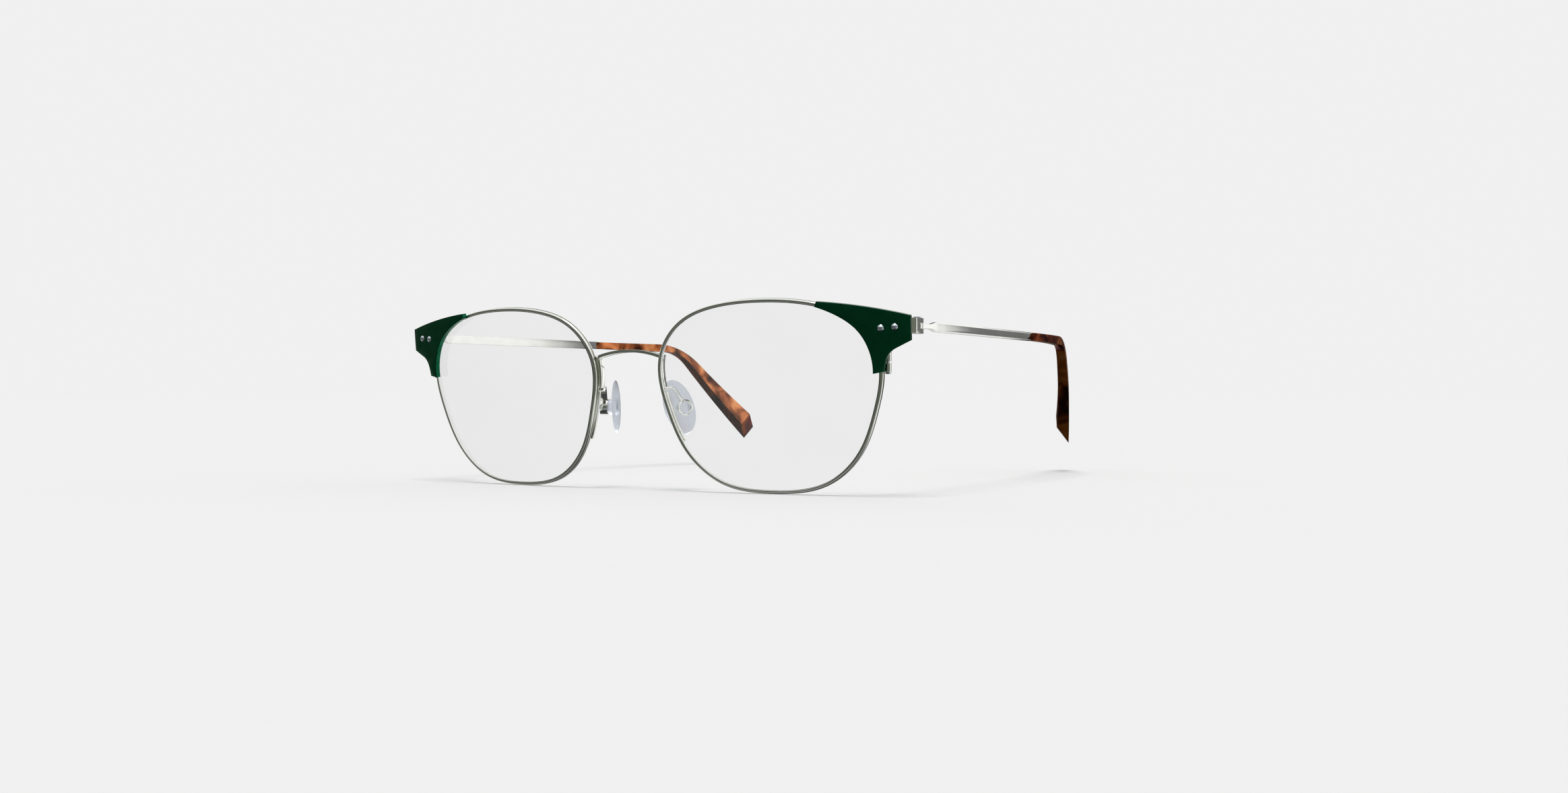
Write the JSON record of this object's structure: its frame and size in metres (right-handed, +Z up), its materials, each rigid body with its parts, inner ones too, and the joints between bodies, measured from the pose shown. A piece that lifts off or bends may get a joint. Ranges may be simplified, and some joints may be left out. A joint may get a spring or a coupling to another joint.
{
  "type": "eyeglasses",
  "caption": "Thin metal full-rim eyeglasses with riveted brow plates on the outer corners, clear lenses, silicone nose pads and folding temples with moulded tips.",
  "frame": {"origin": "on the surface that the rims stand on, at the middle of the footprint", "axes": "+Z up, -Y the way the wearer looks, +X the wearer's left; temples open and level"},
  "size_m": [0.1368, 0.1437, 0.0421],
  "materials": {
    "polished_steel": "polished stainless steel",
    "screw_steel": "polished screws and rivets",
    "green_lacquer": "satin dark green lacquer",
    "tortoise": "polished tortoise-pattern acetate",
    "clear_silicone": "clear soft silicone",
    "lens": "clear polished lens",
    "washer_nylon": "thin nylon washer"
  },
  "bodies": {
    "front": {"lens_left": "lens", "lens_right": "lens", "rim_left": "polished_steel", "rim_right": "polished_steel", "closing_block_upper_left": "polished_steel", "closing_block_upper_right": "polished_steel", "closing_block_lower_left": "polished_steel", "closing_block_lower_right": "polished_steel", "closing_screw_left": "screw_steel", "closing_screw_right": "screw_steel", "brow_plate_left": "green_lacquer", "brow_plate_right": "green_lacquer", "end_piece_left": "polished_steel", "end_piece_right": "polished_steel", "brow_rivets_left": "screw_steel", "brow_rivets_right": "screw_steel", "hinge_screw_left": "screw_steel", "hinge_screw_right": "screw_steel", "hinge_washers_left": "washer_nylon", "hinge_washers_right": "washer_nylon", "pad_arm_left": "polished_steel", "pad_arm_right": "polished_steel", "bridge": "polished_steel"},
    "temple_arm_left": {"temple_left": "polished_steel", "temple_tip_left": "tortoise"},
    "pad_left": {"nose_pad_left": "clear_silicone"},
    "temple_arm_right": {"temple_right": "polished_steel", "temple_tip_right": "tortoise"},
    "pad_right": {"nose_pad_right": "clear_silicone"}
  },
  "joints": [
    {"name": "temple_left_fold", "type": "hinge", "parent": "front", "child": "temple_arm_left", "pos_m": [0.0668, -0.0595, 0.03584], "axis": [0, 0, 1], "range_deg": [0, 84]},
    {"name": "temple_right_fold", "type": "hinge", "parent": "front", "child": "temple_arm_right", "pos_m": [-0.0668, -0.0595, 0.03584], "axis": [0, 0, -1], "range_deg": [0, 76]},
    {"name": "pad_left_rock", "type": "hinge", "parent": "front", "child": "pad_left", "pos_m": [0.01127, -0.0632, 0.01879], "axis": [0.5, 0.866, 0], "range_deg": [-5, 5]},
    {"name": "pad_right_rock", "type": "hinge", "parent": "front", "child": "pad_right", "pos_m": [-0.01127, -0.0632, 0.01879], "axis": [-0.5, 0.866, 0], "range_deg": [-5, 5]}
  ]
}
